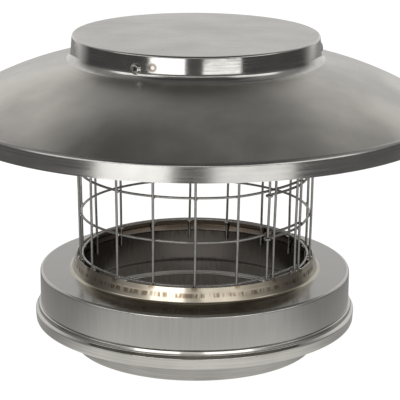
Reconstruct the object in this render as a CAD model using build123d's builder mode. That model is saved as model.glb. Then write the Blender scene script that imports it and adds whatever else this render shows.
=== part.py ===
"""Twin-wall chimney cap: a spun rain hat on a rolled wire screen over an insulated-flue base.

Millimetres. +Z is up the flue and the origin is the centre of the socket's bottom rim.
Azimuths are degrees from the front (-Y), turning towards +X.
"""

import os
from math import atan2, cos, radians, sin

from build123d import *

os.makedirs("parts", exist_ok=True)

# Sheet and wire stock
sheet = 0.6
clip_sheet = 0.8
wire_diameter = 1.6
wire_sides = 6
weld_touch = 0.02
slip_clearance = 0.1

# Flue liner: a bore on the flue's line with a bell socket under it
bore_radius = 76.3
socket_radius = 79.1
socket_depth = 28.0
socket_taper = 3.0
socket_bead_height = 19.5
socket_bead_reach = 1.0
liner_below_neck = 0.6

# Base cover: neck, flat top and skirt in one spinning
base_top_height = 50.5
neck_rise = 9.7
neck_spread = 3.0
neck_cove = 1.6
neck_clearance = 0.15
casing_radius = 101.6
skirt_edge_radius = 1.8
skirt_drop = 22.1

# Locking ring: a rolled band under the skirt, open below for the pipe's casing
ring_overlap = 10.0
ring_bead_reach = 2.5
ring_bead_slope = 0.4
ring_bead_height = 1.6
ring_groove_depth = 0.5
ring_groove_drop = 1.0
ring_band_step = 2.1
ring_band_drop = 1.5
ring_band_height = 6.6
ring_band_taper = 0.4
ring_curl_reach = 4.2
ring_curl_drop = 2.2

# Rain hat: crown, brim and turned-down rim in one spinning
hat_radius = 158.6
hat_top_height = 205.5
crown_radius = 79.3
crown_edge_radius = 1.3
crown_wall_drop = 16.2
crown_wall_flare = 1.3
crown_cove = 4.2
brim_fall = 30.0
brim_bulge = 4.2
rim_height = 10.4
rim_flare = 1.4
rim_edge_radius = 3.0

# Wire screen: welded mesh rolled to a tube, lapped by one cell
screen_ring_count = 6
screen_cells_round = 18
screen_first_azimuth = 1.5
screen_lap_slip = 3.8
screen_lap_cell = 2
screen_lap_step = 3.0
screen_stub_below = 14.1
screen_stub_above = 0.9
screen_top_drop = 4.3
ring_step = 10.0
hook_step = 40.0
hook_bend_count = 5
hook_clearance = 0.1

# Rivets and the clips that they hold
rivet_cells = (16, 4, 10)
rivet_offset = 1.8
rivet_drop = 9.6
rivet_diameter = 4.0
rivet_head_diameter = 6.8
rivet_head_height = 1.5
rivet_head_edge = 0.4
rivet_bulb_diameter = 5.0
rivet_bulb_length = 1.6
rivet_hole_clearance = 0.05
rivet_set_clearance = 0.06
clip_span = 9.0
clip_tail = 3.4
clip_hook_rise = 2.6
clip_to_wire = 0.3

wire_radius = wire_diameter / 2
cell_angle = 360 / screen_cells_round

# Heights that several pieces share
neck_top_height = base_top_height + neck_rise
liner_top_height = neck_top_height - liner_below_neck
skirt_bottom_height = base_top_height - skirt_drop
hat_underside_height = hat_top_height - sheet
crown_wall_bottom = hat_top_height - crown_wall_drop
screen_top_ring_height = hat_top_height - screen_top_drop
screen_pitch = (screen_top_ring_height - neck_top_height) / (screen_ring_count - 1)
upright_bottom = neck_top_height - screen_stub_below
upright_top = screen_top_ring_height + screen_stub_above

# Radii that several pieces share
neck_top_radius = bore_radius + sheet + slip_clearance + sheet + neck_clearance
crown_slope = atan2(crown_wall_flare, crown_wall_drop)


def crown_inner_radius(height):
    """Inside radius of the crown's flared wall."""
    flare = crown_wall_flare * (hat_top_height - height) / crown_wall_drop
    return crown_radius + flare - sheet / cos(crown_slope)


# The screen leans out from the neck's bore to the inside of the crown
upright_foot_radius = bore_radius - wire_radius - weld_touch
upright_head_radius = crown_inner_radius(upright_top) - wire_radius - weld_touch
screen_lean = (upright_head_radius - upright_foot_radius) / (upright_top - neck_top_height)


def upright_radius(height):
    """Radius of the uprights' centre lines."""
    return upright_foot_radius + screen_lean * (height - neck_top_height)


def ring_radius(height):
    """Radius of the screen rings' centre lines, inside the uprights."""
    return upright_radius(height - screen_lap_step / 2) - wire_diameter - weld_touch


def on_circle(radius, azimuth, height):
    """Point at a radius and azimuth; azimuth 0 is the front."""
    turn = radians(azimuth)
    return Vector(radius * sin(turn), -radius * cos(turn), height)


def finish(piece, name):
    """Name a piece and write it."""
    piece.part.label = name
    export_step(piece.part, f"parts/{name}.step")


def corner(line_builder, point):
    """Vertex of a profile nearest to a point in its own plane."""
    return line_builder.vertices().sort_by_distance((point[0], 0, point[1]))[0]


# Rivet seats: between two uprights, square to the crown's sloping wall
rivet_height = hat_top_height - rivet_drop
rivet_seat_radius = crown_inner_radius(rivet_height) + sheet / cos(crown_slope)
rivet_azimuths = [
    screen_first_azimuth + (cell + 0.5) * cell_angle + rivet_offset for cell in rivet_cells
]


def rivet_plane(azimuth):
    """Plane on the crown's outer wall whose Z runs outwards along a rivet."""
    outward = on_circle(cos(crown_slope), azimuth, sin(crown_slope))
    return Plane(
        origin=on_circle(rivet_seat_radius, azimuth, rivet_height),
        x_dir=on_circle(1, azimuth + 90, 0),
        z_dir=outward,
    )


rivet_planes = [rivet_plane(azimuth) for azimuth in rivet_azimuths]
rivet_hole_radius = rivet_diameter / 2 + rivet_hole_clearance
rivet_grip = sheet + clip_sheet + rivet_set_clearance

# Rain hat
with BuildPart() as rain_hat:
    with BuildSketch(Plane.XZ):
        with BuildLine() as hat_line:
            crown_foot = (crown_radius + crown_wall_flare, crown_wall_bottom)
            brim_edge = (hat_radius - rim_flare, crown_wall_bottom - brim_fall)
            rim_bottom = (hat_radius, crown_wall_bottom - brim_fall - rim_height)
            FilletPolyline(
                (0, hat_top_height),
                (crown_radius, hat_top_height),
                crown_foot,
                radius=crown_edge_radius,
            )
            SagittaArc(crown_foot, brim_edge, brim_bulge)
            Line(brim_edge, rim_bottom)
            fillet(corner(hat_line, crown_foot), crown_cove)
            fillet(corner(hat_line, brim_edge), rim_edge_radius)
            offset(amount=sheet, side=Side.RIGHT)
        make_face()
    revolve(axis=Axis.Z)
    for plane in rivet_planes:
        with Locations(plane):
            Cylinder(rivet_hole_radius, 4 * rivet_grip, mode=Mode.SUBTRACT)
finish(rain_hat, "rain_hat")

# Crown rivets: domed head outside, set bulb behind the clip
for index, plane in enumerate(rivet_planes, start=1):
    with BuildPart() as crown_rivet:
        with BuildSketch(Plane(origin=plane.origin, x_dir=plane.x_dir, z_dir=-plane.y_dir)):
            with BuildLine():
                head_radius = rivet_head_diameter / 2
                shank = rivet_diameter / 2
                bulb = rivet_bulb_diameter / 2
                Polyline(
                    (0, rivet_head_height),
                    (head_radius, rivet_head_edge),
                    (head_radius, 0),
                    (shank, 0),
                    (shank, -rivet_grip),
                    (bulb, -rivet_grip),
                    (0, -rivet_grip - rivet_bulb_length),
                    close=True,
                )
            make_face()
        revolve(axis=Axis(plane.origin, plane.z_dir))
    finish(crown_rivet, f"crown_rivet_{index}")

# Clips: riveted inside the crown and hooked under the screen's top ring
hook_shelf_height = screen_top_ring_height - wire_radius - clip_to_wire - clip_sheet
hook_inner_radius = ring_radius(screen_top_ring_height) - wire_radius - clip_to_wire - clip_sheet
clip_tail_height = rivet_height - rivet_head_diameter / 2 - clip_tail + clip_sheet
for index, azimuth in enumerate(rivet_azimuths, start=1):
    with BuildPart() as hat_clip:
        with BuildSketch(Plane.XZ.rotated((0, 0, azimuth - 90 - clip_span / 2))):
            with BuildLine():
                tail = (crown_inner_radius(clip_tail_height), clip_tail_height)
                shelf_outer = (crown_inner_radius(hook_shelf_height), hook_shelf_height)
                shelf_inner = (hook_inner_radius, hook_shelf_height)
                hook_tip = (hook_inner_radius, hook_shelf_height + clip_sheet + clip_hook_rise)
                Polyline(tail, shelf_outer, shelf_inner, hook_tip)
                offset(amount=clip_sheet, kind=Kind.INTERSECTION, side=Side.LEFT)
            make_face()
        revolve(axis=Axis.Z, revolution_arc=clip_span)
        with Locations(rivet_planes[index - 1]):
            Cylinder(rivet_hole_radius, 4 * rivet_grip, mode=Mode.SUBTRACT)
    finish(hat_clip, f"hat_clip_{index}")

# Screen uprights: one wire a cell, and two more where the lap doubles them
lap_from = screen_first_azimuth + screen_lap_cell * cell_angle
lap_to = lap_from + cell_angle
upright_azimuths = [screen_first_azimuth + cell * cell_angle for cell in range(screen_cells_round)]
upright_azimuths += [lap_from - screen_lap_slip, lap_to - screen_lap_slip]
for index, azimuth in enumerate(upright_azimuths, start=1):
    foot = on_circle(upright_radius(upright_bottom), azimuth, upright_bottom)
    head = on_circle(upright_radius(upright_top), azimuth, upright_top)
    with BuildPart() as upright:
        with BuildSketch(Plane(origin=foot, z_dir=head - foot)):
            RegularPolygon(wire_radius, wire_sides)
        extrude(amount=(head - foot).length)
    finish(upright, f"screen_upright_{index:02d}")

# Screen rings: each wire runs once round and a cell more, so that its ends lap
station_count = round((360 + lap_to - lap_from) / ring_step)
near_end = lap_from - screen_lap_slip
far_end = lap_from + station_count * ring_step
stations = [near_end] + [lap_from + step * ring_step for step in range(station_count + 1)]


def ring_level(azimuth):
    """Height of a ring's wire off the ring's middle: low where it starts, high where it ends."""
    along_start = (azimuth - lap_to) / (2 * ring_step)
    before_end = (lap_from + 360 - azimuth) / (2 * ring_step)
    low = min(1, max(0, 1 - along_start))
    high = min(1, max(0, 1 - before_end))
    return (high - low) * screen_lap_step / 2


def hook_points(azimuth, height, side):
    """Points of the hook that turns an end back round its upright, from the ring outwards."""
    reach = (wire_diameter + hook_clearance) / cos(radians(hook_step / 2))
    centre = on_circle(upright_radius(height), azimuth, height + ring_level(azimuth))
    inward = on_circle(-reach, azimuth, 0)
    along = on_circle(side * reach, azimuth + 90, 0)
    turns = [radians(hook_step * bend) for bend in range(1, hook_bend_count + 1)]
    return [centre + inward * cos(turn) + along * sin(turn) for turn in turns]


for index in range(screen_ring_count):
    height = neck_top_height + index * screen_pitch
    ring_points = [
        on_circle(ring_radius(height), azimuth, height + ring_level(azimuth)) for azimuth in stations
    ]
    if 0 < index < screen_ring_count - 1:
        ring_points = hook_points(near_end, height, -1)[::-1] + ring_points
        ring_points += hook_points(far_end, height, 1)
    with BuildPart() as screen_ring:
        with BuildLine():
            path = Polyline(*ring_points)
        with BuildSketch(Plane(origin=path @ 0, z_dir=path % 0)):
            RegularPolygon(wire_radius, wire_sides)
        sweep(path=path.wire(), transition=Transition.RIGHT)
    finish(screen_ring, f"screen_ring_{index + 1}")

# Base cover: neck, flat top and skirt
with BuildPart() as base_cover:
    with BuildSketch(Plane.XZ):
        with BuildLine() as cover_line:
            neck_foot = (neck_top_radius + neck_spread, base_top_height)
            skirt_edge = (casing_radius, base_top_height)
            Polyline(
                (neck_top_radius, neck_top_height),
                neck_foot,
                skirt_edge,
                (casing_radius, skirt_bottom_height),
            )
            fillet(corner(cover_line, neck_foot), neck_cove)
            fillet(corner(cover_line, skirt_edge), skirt_edge_radius)
            offset(amount=sheet, side=Side.RIGHT)
        make_face()
    revolve(axis=Axis.Z)
finish(base_cover, "base_cover")

# Flue liner: bore, taper and bell socket in one tube, with a rolled bead round the socket
with BuildPart() as flue_liner:
    with BuildSketch(Plane.XZ):
        with BuildLine() as liner_line:
            bore_outer = bore_radius + sheet
            socket_outer = socket_radius + sheet
            Polyline(
                (bore_outer, liner_top_height),
                (bore_outer, socket_depth + socket_taper),
                (socket_outer, socket_depth),
                (socket_outer, socket_bead_height + socket_bead_reach),
                (socket_outer + socket_bead_reach, socket_bead_height),
                (socket_outer, socket_bead_height - socket_bead_reach),
                (socket_outer, 0),
            )
            offset(amount=sheet, kind=Kind.INTERSECTION, side=Side.RIGHT)
        make_face()
    revolve(axis=Axis.Z)
finish(flue_liner, "flue_liner")

# Locking ring: flange inside the skirt, shoulder bead, groove, band and curled lip
with BuildPart() as locking_ring:
    with BuildSketch(Plane.XZ):
        with BuildLine() as ring_line:
            flange_radius = casing_radius - sheet - slip_clearance
            shoulder_height = skirt_bottom_height - slip_clearance
            bead_top = (flange_radius + ring_bead_reach, shoulder_height - ring_bead_slope)
            bead_bottom = (bead_top[0], bead_top[1] - ring_bead_height)
            groove = (bead_bottom[0] - ring_groove_depth, bead_bottom[1] - ring_groove_drop)
            band_top = (groove[0] + ring_band_step, groove[1] - ring_band_drop)
            band_bottom = (band_top[0] - ring_band_taper, band_top[1] - ring_band_height)
            curl_end = (band_bottom[0] - ring_curl_reach, band_bottom[1] - ring_curl_drop)
            Polyline(
                (flange_radius, skirt_bottom_height + ring_overlap),
                (flange_radius, shoulder_height),
                bead_top,
                bead_bottom,
                groove,
                band_top,
                band_bottom,
                curl_end,
            )
            offset(amount=sheet, side=Side.RIGHT)
        make_face()
    revolve(axis=Axis.Z)
finish(locking_ring, "locking_ring")
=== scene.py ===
"""Looks of a twin-wall chimney cap: a spun hat on a wire screen over a sheet base."""

import math
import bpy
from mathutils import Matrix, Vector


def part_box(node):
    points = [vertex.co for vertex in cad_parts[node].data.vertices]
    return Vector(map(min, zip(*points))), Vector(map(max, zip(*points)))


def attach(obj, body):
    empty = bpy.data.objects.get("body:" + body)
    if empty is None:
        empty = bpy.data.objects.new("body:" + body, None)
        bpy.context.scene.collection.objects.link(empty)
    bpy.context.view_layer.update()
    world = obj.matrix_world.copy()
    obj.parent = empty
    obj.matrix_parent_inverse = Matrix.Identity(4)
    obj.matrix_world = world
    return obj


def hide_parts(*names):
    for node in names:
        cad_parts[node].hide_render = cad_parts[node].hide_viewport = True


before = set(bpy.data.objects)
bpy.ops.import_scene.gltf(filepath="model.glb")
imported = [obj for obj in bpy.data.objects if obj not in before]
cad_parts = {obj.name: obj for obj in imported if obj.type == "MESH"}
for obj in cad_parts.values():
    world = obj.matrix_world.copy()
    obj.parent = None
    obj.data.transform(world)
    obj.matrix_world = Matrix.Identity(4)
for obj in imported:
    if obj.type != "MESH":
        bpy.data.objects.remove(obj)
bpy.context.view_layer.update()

from types import SimpleNamespace

import bmesh
import bpy
from bpy.props import FloatProperty, FloatVectorProperty, IntProperty, PointerProperty
from bpy.types import Operator, Panel, PropertyGroup
from mathutils import Matrix, Vector

bl_info = {
    "name": "Chimney Cap",
    "version": (1, 0, 0),
    "blender": (4, 5, 0),
    "location": "3D View > Sidebar > Chimney Cap",
    "description": "Builds a stainless chimney cap piece by piece and sets it on a pale studio floor",
    "category": "Add Mesh",
}

MM = 0.001
HAT_LOW, HAT_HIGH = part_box("rain_hat")
COVER_LOW, COVER_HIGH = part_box("base_cover")
LINER_LOW, LINER_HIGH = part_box("flue_liner")
RING_LOW, RING_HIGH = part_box("locking_ring")
POLE = 1e-7
SHARP = math.radians(40)


# Settings


def linear(hex_colour):
    """Linear red, green and blue of an sRGB hex colour."""
    parts = [int(hex_colour[start:start + 2], 16) / 255 for start in (0, 2, 4)]
    return tuple(part / 12.92 if part <= 0.04045 else ((part + 0.055) / 1.055) ** 2.4 for part in parts)


def opaque(colour, share=1.0):
    """A share of a colour with full alpha, as a colour socket takes it."""
    return (colour[0] * share, colour[1] * share, colour[2] * share, 1.0)


def length(name, millimetres, description):
    """Length property whose default is given in millimetres."""
    return FloatProperty(
        name=name,
        description=description,
        default=millimetres * MM,
        precision=5,
        unit="LENGTH",
        subtype="DISTANCE",
    )


def angle(name, degrees, description):
    """Angle property whose default is given in degrees."""
    return FloatProperty(name=name, description=description, default=math.radians(degrees), subtype="ANGLE")


def glow(name, share, description):
    """Brightness property, as a share of white."""
    return FloatProperty(name=name, description="Brightness of " + description, default=share, min=0)


def colour(name, hex_colour, description):
    """Colour property whose default is given as sRGB hex."""
    return FloatVectorProperty(
        name=name, description=description, default=linear(hex_colour), min=0, max=1, size=3, subtype="COLOR"
    )


class CapSheetSettings(PropertyGroup):
    sheet: length("Sheet", 0.6, "Thickness of every spun and rolled sheet")
    round_steps: IntProperty(name="Steps round", description="Faces round a spun piece", default=256, min=24)
    steel: colour("Satin steel", "C4C1BC", "Base colour of the satin sheet")
    spun: colour("Spun steel", "C7C3BC", "Base colour of the brim, a little warm")
    bright: colour("Bright steel", "D0CEC9", "Base colour of the burnished and polished sheet")
    warm: colour("Rolled band", "CBC8C2", "Base colour of the locking ring, a little warm")
    straw: colour("Straw steel", "CCC6B6", "Base colour of the neck, straw from the heat")
    # Painted shade: the flue colour is dark to stand in for the shade inside the liner and in the rivets'
    # holes
    flue: colour("Flue steel", "8F8880", "Base colour of the dull sheet inside the liner")
    tint: colour("Heat tint", "6E5A44", "Straw to brown oxide beside the welds")


class CapHatSettings(PropertyGroup):
    crown_radius: length("Crown radius", 79.0, "Radius of the crown at the disc")
    crown_flare: length("Crown flare", 1.3, "How much wider the crown's wall is at its foot")
    crown_height: length("Crown height", 16.2, "Height of the crown's wall above the brim")
    crown_edge: length("Crown edge", 1.3, "Outside radius of the crown's top edge")
    crown_cove: length("Crown cove", 6.5, "Radius where the wall turns out into the brim")
    crown_dome: length("Crown dome", 0.5, "How far the disc sinks from its middle to its edge")
    brim_bulge: length("Brim bulge", 4.2, "Rise of the brim's curve over a straight cone")
    rim_height: length("Rim height", 10.4, "Height of the turned-down rim")
    rim_flare: length("Rim flare", 1.4, "How much wider the rim is at its bottom")
    rim_edge: length("Rim edge", 3.0, "Outside radius where the brim turns down")
    rivet_height: length("Rivet height", 195.9, "Height of the rivets in the crown's wall")
    rivet_azimuth: angle("Rivet azimuth", -26.7, "Angle of the rivet that shows in front")
    rivet_count: IntProperty(name="Rivets", description="Rivets round the crown", default=3, min=1)
    rivet_radius: length("Rivet radius", 3.5, "Radius of a rivet's head")
    weld_beside: angle("Weld beside", 7.9, "From a rivet to the spot weld of its clip")
    weld_rise: length("Weld rise", 1.6, "From a rivet up to the spot weld of its clip")
    mandrel_depth: length("Mandrel depth", 0.5, "How deep the snapped mandrel lies in the rivet's head")
    rivet_dome: length("Rivet dome", 1.5, "Height of a rivet's head")
    rivet_bore: length("Rivet bore", 1.15, "Radius of the hole that the mandrel leaves")


class CapScreenSettings(PropertyGroup):
    wire_radius: length("Wire radius", 0.8, "Radius of the drawn wire")
    wire_sides: IntProperty(name="Wire sides", description="Faces round a wire", default=12, min=6)
    wander: length("Wander", 1.1, "How far a wire strays from its true line")
    bead_size: length("Weld bead", 1.15, "Radius of the fused bead where two wires cross")
    foot_bead: length("Foot bead", 2.2, "Radius of the bead that holds an upright to the neck")
    top_drop: length("Top drop", 4.3, "From the crown's top to the top ring")
    stub_below: length("Stub below", 14.1, "Length of an upright below the bottom ring")
    stub_above: length("Stub above", 0.9, "Length of an upright above the top ring")
    foot_radius: length("Foot radius", 75.48, "Radius of the uprights at the bottom ring")
    head_radius: length("Head radius", 78.0, "Radius of the uprights at their heads")
    rings: IntProperty(name="Rings", description="Wires that run round", default=6, min=2)
    cells: IntProperty(name="Cells round", description="Cells of mesh round the screen", default=18, min=3)
    first_azimuth: angle("First upright", 1.5, "Angle of the upright nearest to the front")
    lap_cell: IntProperty(name="Lap cell", description="Cell in which the mesh laps itself", default=2, min=0)
    lap_slip: angle("Lap slip", 3.8, "How far the inner layer of the lap is turned back")
    aside: length("Aside", -1.5, "How far the screen sits to the side of the axis")
    lean: length("Lean", -1.3, "How far the uprights' feet stand to the side of their heads")
    lap_step: length("Lap step", 3.0, "Drop from one end of a ring to the other where they lap")
    steel: colour("Wire", "B9B7B3", "Base colour of the drawn wire")


class CapBaseSettings(PropertyGroup):
    neck_top_radius: length("Neck radius", 77.75, "Radius of the neck at its top")
    neck_spread: length("Neck spread", 3.0, "How much wider the neck is at its foot")
    neck_rise: length("Neck rise", 9.7, "Height of the neck above the flat top")
    neck_cove: length("Neck cove", 1.8, "Radius where the neck turns out into the flat top")
    skirt_edge: length("Skirt edge", 1.8, "Outside radius of the skirt's top edge")
    bore: length("Bore", 76.3, "Inside radius of the liner")
    socket: length("Socket", 79.1, "Inside radius of the bell socket")
    socket_depth: length("Socket depth", 28.0, "Height of the bell socket")
    socket_taper: length("Socket taper", 3.0, "Height of the cone between socket and bore")
    bead_height: length("Socket bead height", 19.5, "Height of the bead rolled round the socket")
    bead_reach: length("Socket bead reach", 1.0, "How far the socket's bead stands out")
    flange_radius: length("Flange radius", 100.9, "Outside radius of the locking ring's flange")
    swage_height: length("Swage height", 55.7, "Height at which the liner is pressed out to the neck")
    swage_reach: length("Swage reach", 1.3, "How far the liner is pressed out to the neck")
    ring_bead_reach: length("Ring bead reach", 2.5, "How far the locking ring's bead stands out")
    ring_bead_lean: length("Ring bead lean", 0.6, "How far the bead's face leans in at its top")
    ring_bead_height: length("Ring bead height", 1.6, "Height of the bead's face")
    ring_groove_depth: length("Ring groove depth", 0.5, "Depth of the groove under the bead")
    ring_groove_drop: length("Ring groove drop", 1.0, "From the bead to the groove")
    ring_band_reach: length("Ring band reach", 2.1, "How far the band stands out from the groove")
    ring_band_drop: length("Ring band drop", 1.5, "From the groove to the band")
    ring_band_height: length("Ring band height", 6.6, "Height of the locking ring's band")
    ring_band_taper: length("Ring band taper", 0.4, "How far the band leans in at its bottom")
    ring_curl_reach: length("Ring curl reach", 4.2, "How far the lip curls in under the band")


class CapStudioSettings(PropertyGroup):
    focal: FloatProperty(name="Focal length", description="Lens for a 36 mm wide frame", default=155.6)
    distance: length("Distance", 1129.5, "From the camera to its target")
    elevation: angle("Elevation", 15.70, "Height of the camera over its target")
    roll: angle("Roll", 0.374, "Turn of the camera about its view")
    target_right: length("Target right", 3.15, "Target of the camera, to the right of the axis")
    target_height: length("Target height", 94.77, "Target of the camera over the floor")
    floor: colour("Floor", "F4F4F3", "Colour of the pale floor")
    floor_radius: length("Floor radius", 1500.0, "Radius of the floor")
    back_wall: glow("Back wall", 0.72, "the pale wall behind")
    left_card: glow("Left card", 2.4, "the card left of the camera")
    right_card: glow("Right card", 1.9, "the card right of the camera")
    low_cards: glow("Low cards", 1.1, "the cards' lower parts")
    card_distance: length("Card distance", 535.0, "From the axis to the cards beside the camera")
    card_bottom: length("Card bottom", 60.0, "Height of the cards' bottom edge")
    card_split: length("Card split", 171.0, "Height at which the cards' low parts end")
    front_boxes: glow("Front boxes", 1.1, "the boxes aside of the camera")
    front_strip: glow("Front strip", 0.85, "the strip over the cards")
    side_walls: glow("Side walls", 0.22, "the dim side walls")
    roof: glow("Roof", 0.05, "the dim roof over the rest")
    gloom: glow("Gloom", 0.07, "the rest of the room")


# Nodes


def add_node(tree, kind, inputs=None, **settings):
    """Adds a node, sets its properties, and fills its inputs, by name or place, with values or links."""
    node = tree.nodes.new(kind)
    for name, value in settings.items():
        setattr(node, name, value)
    for key, value in (inputs or {}).items():
        if isinstance(value, bpy.types.Node):
            value = value.outputs[0]
        if isinstance(value, bpy.types.NodeSocket):
            tree.links.new(value, node.inputs[key])
        else:
            node.inputs[key].default_value = value
    return node


def new_material(name):
    """Empty node material and its tree."""
    material = bpy.data.materials.new(name)
    material.use_nodes = True
    material.node_tree.nodes.clear()
    return material, material.node_tree


def about_axis(tree):
    """Place of the shaded point, and its angle and height about the part's own axis."""
    place = add_node(tree, "ShaderNodeTexCoord").outputs["Object"]
    axes = add_node(tree, "ShaderNodeSeparateXYZ", {0: place})
    turn = add_node(tree, "ShaderNodeMath", {0: axes.outputs[0], 1: axes.outputs[1]}, operation="ARCTAN2")
    return SimpleNamespace(place=place, turn=turn, height=axes.outputs[2])


def off_axis(tree, place):
    """Distance of a place from the part's own axis."""
    flat = add_node(tree, "ShaderNodeVectorMath", {0: place, 1: (1.0, 1.0, 0.0)}, operation="MULTIPLY")
    return add_node(tree, "ShaderNodeVectorMath", {0: flat}, operation="LENGTH").outputs["Value"]


def from_front(tree, way):
    """Angle between a direction and the front, seen from above."""
    axes = add_node(tree, "ShaderNodeSeparateXYZ", {0: way})
    ahead = add_node(tree, "ShaderNodeMath", {0: axes.outputs[1], 1: -1.0}, operation="MULTIPLY")
    side = add_node(tree, "ShaderNodeMath", {0: axes.outputs[0], 1: ahead}, operation="ARCTAN2")
    return add_node(tree, "ShaderNodeMath", {0: side}, operation="ABSOLUTE")


def streaks(tree, first, second, detail):
    """Noise over two coordinates, each given with the length or angle between its marks."""
    scaled = []
    for value, pitch in (first, second):
        scaled.append(add_node(tree, "ShaderNodeMath", {0: value, 1: pitch}, operation="DIVIDE"))
    track = add_node(tree, "ShaderNodeCombineXYZ", {0: scaled[0], 1: scaled[1]})
    return add_node(tree, "ShaderNodeTexNoise", {"Vector": track, "Scale": 1.0, "Detail": detail})


def toned(tree, pattern, low, high, start, end):
    """Colour that goes from its start to its end as a pattern rises from low to high."""
    share = add_node(tree, "ShaderNodeMapRange", {0: pattern, 1: low, 2: high})
    return add_node(tree, "ShaderNodeMix", {0: share, 6: start, 7: end}, data_type="RGBA").outputs[2]


def end_metal(material, tone, rough, *bumps, extra=None):
    """Ends a metal with its shader and output.

    Its roughness may follow a pattern, as (pattern, smooth, rough), and its bumps, each as (pattern,
    strength, depth in mm), lie one over another.
    """
    tree = material.node_tree
    if isinstance(rough, tuple):
        ends = dict(enumerate((rough[0], 0.3, 0.7, *rough[1:])))
        rough = add_node(tree, "ShaderNodeMapRange", ends)
    inputs = {"Metallic": 1.0, "Base Color": tone, "Roughness": rough}
    under = {}
    for pattern, strength, depth in bumps:
        laid = {"Height": pattern, "Strength": strength, "Distance": depth * MM, **under}
        under = {"Normal": add_node(tree, "ShaderNodeBump", laid)}
    shader = add_node(tree, "ShaderNodeBsdfPrincipled", {**inputs, **under, **(extra or {})})
    add_node(tree, "ShaderNodeOutputMaterial", {"Surface": shader})
    return material


# Materials


def spun_satin(settings):
    """Stainless sheet turned over a former and left satin: fine tool rings under a cloudy sheen."""
    material, tree = new_material("Stainless steel, spun satin")
    at = about_axis(tree)
    # The tool's rings are 0.4 mm apart in the metal, and are drawn 1.2 mm apart so that they show
    marks = streaks(tree, (off_axis(tree, at.place), 1.2 * MM), (at.turn, 1 / 1.5), 3.0)
    # Handling leaves cloudy patches about 60 mm across
    cloud = add_node(tree, "ShaderNodeTexNoise", {"Vector": at.place, "Scale": 1 / 0.060, "Detail": 4.0})
    cloudy = add_node(tree, "ShaderNodeMapRange", {0: cloud, 1: 0.38, 2: 0.62, 3: 0.30, 4: 0.40})
    tooled = add_node(tree, "ShaderNodeMapRange", {0: marks, 1: 0.3, 2: 0.7, 3: -0.02, 4: 0.02})
    rough = add_node(tree, "ShaderNodeMath", {0: cloudy, 1: tooled}, operation="ADD")
    tone = toned(tree, cloud, 0.40, 0.60, opaque(settings.spun, 0.78), opaque(settings.spun, 1.15))
    # Shallow dents are about 60 mm across
    dent = add_node(tree, "ShaderNodeTexNoise", {"Vector": at.place, "Scale": 1 / 0.060, "Detail": 0.0})
    # The rings draw the sheen out across themselves
    tangent = add_node(tree, "ShaderNodeTangent", direction_type="RADIAL", axis="Z")
    sheen = {"Anisotropic": 0.8, "Anisotropic Rotation": 0.25, "Tangent": tangent}
    return end_metal(material, tone, rough, (dent, 0.5, 12.0), (marks, 0.02, 0.1), extra=sheen)


def mill_satin(settings):
    """Flat disc left as it came from the mill: a satin sheen with long streaks one way."""
    material, tree = new_material("Stainless steel, mill satin")
    place = add_node(tree, "ShaderNodeTexCoord").outputs["Object"]
    # The mill's streaks are 0.3 mm apart in the metal, and are drawn 1.5 mm apart so that they show
    stretch = {0: place, 1: (1 / 0.06, 1 / 0.0015, 1.0)}
    stretched = add_node(tree, "ShaderNodeVectorMath", stretch, operation="MULTIPLY")
    streak = add_node(tree, "ShaderNodeTexNoise", {"Vector": stretched, "Scale": 1.0, "Detail": 3.0})
    # Handling leaves cloudy patches about 40 mm across
    cloud = add_node(tree, "ShaderNodeTexNoise", {"Vector": place, "Scale": 1 / 0.040, "Detail": 3.0})
    worn = add_node(tree, "ShaderNodeMix", {0: 0.3, 2: cloud, 3: streak}, data_type="FLOAT")
    tone = toned(tree, worn, 0.38, 0.60, opaque(settings.steel, 0.84), opaque(settings.steel, 1.04))
    return end_metal(material, tone, (streak, 0.24, 0.34), (streak, 0.03, 0.1))


def burnished(settings, name, gloss, welds=()):
    """Walls and edges pressed bright by the roller: a mirror with ripples, and straw marks over welds."""
    material, tree = new_material(name)
    at = about_axis(tree)
    # The roller leaves ripples about 9 mm long round the wall
    ripple = streaks(tree, (at.turn, 1 / 9), (at.height, 9 * MM), 2.0)
    # Rubbed rings are 0.5 mm apart in the metal, and are drawn 1 mm apart so that they show
    fine = streaks(tree, (at.turn, 1 / 2), (at.height, 1.0 * MM), 2.0)
    tone = toned(tree, ripple, 0.3, 0.7, opaque(settings.bright, 0.88), opaque(settings.bright))
    for weld in welds:
        off_weld = add_node(tree, "ShaderNodeVectorMath", {0: at.place, 1: weld}, operation="DISTANCE")
        away = off_weld.outputs["Value"]
        # The mark is 6 mm across, with a clean middle 2 mm wide
        outside = add_node(tree, "ShaderNodeMapRange", {0: away, 1: 2 * MM, 2: 3.2 * MM, 3: 0.8, 4: 0.0})
        inside = add_node(tree, "ShaderNodeMapRange", {0: away, 1: 0.8 * MM, 2: 1.6 * MM})
        mark = add_node(tree, "ShaderNodeMath", {0: outside, 1: inside}, operation="MULTIPLY")
        marked = {0: mark, 6: tone, 7: opaque(settings.tint)}
        tone = add_node(tree, "ShaderNodeMix", marked, data_type="RGBA").outputs[2]
    return end_metal(material, tone, (fine, gloss, gloss + 0.06), (ripple, 0.10, 0.5), (fine, 0.015, 0.1))


def rolled_sheet(settings, name, painted_light_share):
    """Cold-rolled sheet round the base: a soft mirror with grain and shallow waves."""
    material, tree = new_material(name)
    at = about_axis(tree)
    # Upright grain is 0.3 mm apart in the metal, and is drawn 1.4 mm apart so that it shows
    grain = streaks(tree, (at.turn, 1 / 72), (at.height, 30 * MM), 3.0)
    # The sheet's waves are about 35 mm long
    wave = add_node(tree, "ShaderNodeTexNoise", {"Vector": at.place, "Scale": 1 / 0.035, "Detail": 1.0})
    # Painted shade: the share gives darker copies of this finish, as on the flat top under the hat
    dark, light = opaque(settings.steel, 0.97 * painted_light_share), opaque(settings.steel, 1.05 * painted_light_share)
    tone = toned(tree, grain, 0.3, 0.7, dark, light)
    return end_metal(material, tone, (grain, 0.19, 0.23), (wave, 0.4, 1.0), (grain, 0.04, 0.15))


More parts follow.
